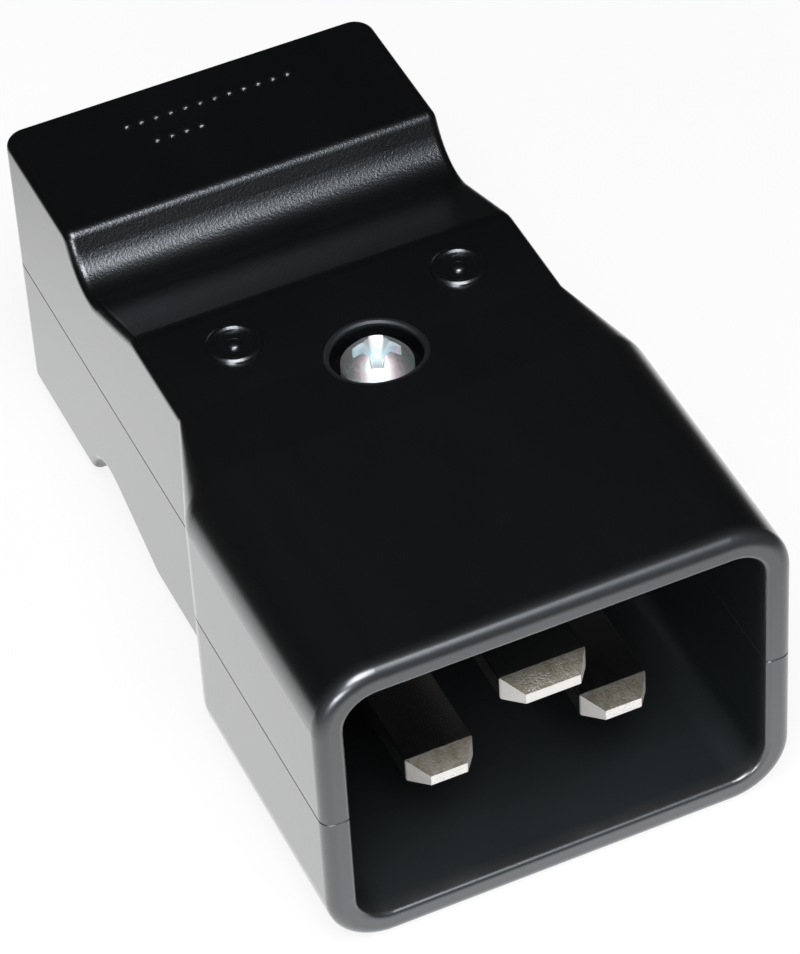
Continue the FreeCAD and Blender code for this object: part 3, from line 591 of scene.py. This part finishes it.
def white_table():
    """White finish that the camera sees a little brighter than the lamps make it, and that reflections see
    white near the plug and dark further out. Distances are in metres from the origin."""
    glow_share = 0.86
    white_until = 0.03
    dark_from = 0.11
    material = bpy.data.materials.new("white_table")
    bench = empty_bench(material)
    path = bench.node("ShaderNodeLightPath").socket.node.outputs
    looked_at = Wire(bench, path["Is Camera Ray"])
    mirrored = Wire(bench, path["Is Glossy Ray"]) + Wire(bench, path["Is Transmission Ray"])
    away = bench.length(bench.node("ShaderNodeTexCoord", out="Object"))
    far = mirrored * bench.step(away, white_until, dark_from)
    seen = bench.blend(far, (1, 1, 1, 1), (0.02, 0.02, 0.02, 1))
    glow = bench.node("ShaderNodeEmission", {}, {"Color": seen, "Strength": 1.0})
    matt = bench.node("ShaderNodeBsdfDiffuse", {}, {"Color": (0.9, 0.9, 0.9, 1)})
    glowing = (looked_at + mirrored) * glow_share + far * (1 - glow_share)
    mixed = bench.node("ShaderNodeMixShader", {}, {0: glowing, 1: matt, 2: glow})
    bench.node("ShaderNodeOutputMaterial", {}, {"Surface": mixed})
    return material


def pale_floor():
    """Wide floor just under the plug, with its half width in metres."""
    half_width = 4
    level = -0.05 * MM
    mesh = bpy.data.meshes.new("floor")
    ends = [(-1, -1), (1, -1), (1, 1), (-1, 1)]
    mesh.from_pydata([(x * half_width, y * half_width, level) for x, y in ends], [], [(0, 1, 2, 3)])
    mesh.materials.append(white_table())
    floor = show("floor", mesh)


def dim_room():
    """Dim walls and ceiling, a little paler low down."""
    low_grey = (0.02, 0.02, 0.021, 1)
    high_grey = (0.012, 0.013, 0.014, 1)
    world = bpy.data.worlds.new("room")
    bench = empty_bench(world)
    up = bench.axes(bench.node("ShaderNodeTexCoord", out="Generated"))[2]
    colour = bench.blend(bench.step(up, 0, 0.25), low_grey, high_grey)
    shine = bench.node("ShaderNodeBackground", {}, {"Color": colour, "Strength": 1.0})
    bench.node("ShaderNodeOutputWorld", {}, {"Surface": shine})
    bpy.context.scene.world = world


def aim_camera():
    """Camera at the photograph's place, which was found from the outline and the edges of the plug."""
    yaw = math.radians(-22.08)
    pitch = math.radians(44.42)
    roll = math.radians(-3.74)
    aim_point = Vector((0, -1, 12.75))
    shift_right = 1.83
    shift_down = 1.28
    distance = 345.6
    image_height = 954
    focal_pixels = 4930
    sensor = 36

    back = Vector((math.sin(yaw) * math.cos(pitch), -math.cos(yaw) * math.cos(pitch), math.sin(pitch)))
    level = Vector((math.cos(yaw), math.sin(yaw), 0))
    upright = back.cross(level)
    right = level * math.cos(roll) + upright * math.sin(roll)
    up = upright * math.cos(roll) - level * math.sin(roll)
    place = aim_point + right * shift_right - up * shift_down + back * distance
    lens = bpy.data.cameras.new("camera")
    lens.lens = sensor * focal_pixels / image_height
    lens.clip_start = 0.01
    camera = show("camera", lens)
    turned = Matrix((right, up, back)).transposed().to_4x4()
    camera.matrix_world = Matrix.Translation(place * MM) @ turned
    bpy.context.scene.camera = camera


pale_floor()
dim_room()
aim_camera()
light("soft_key", direction=(-0.15, -0.47, 0.87), distance=0.6, size=(0.36, 0.36), power=4.3)
light("front_fill", direction=(-0.55, -0.78, 0.28), distance=0.5, size=(0.2, 0.12), power=1.0)
bpy.context.scene.view_settings.view_transform = "Standard"
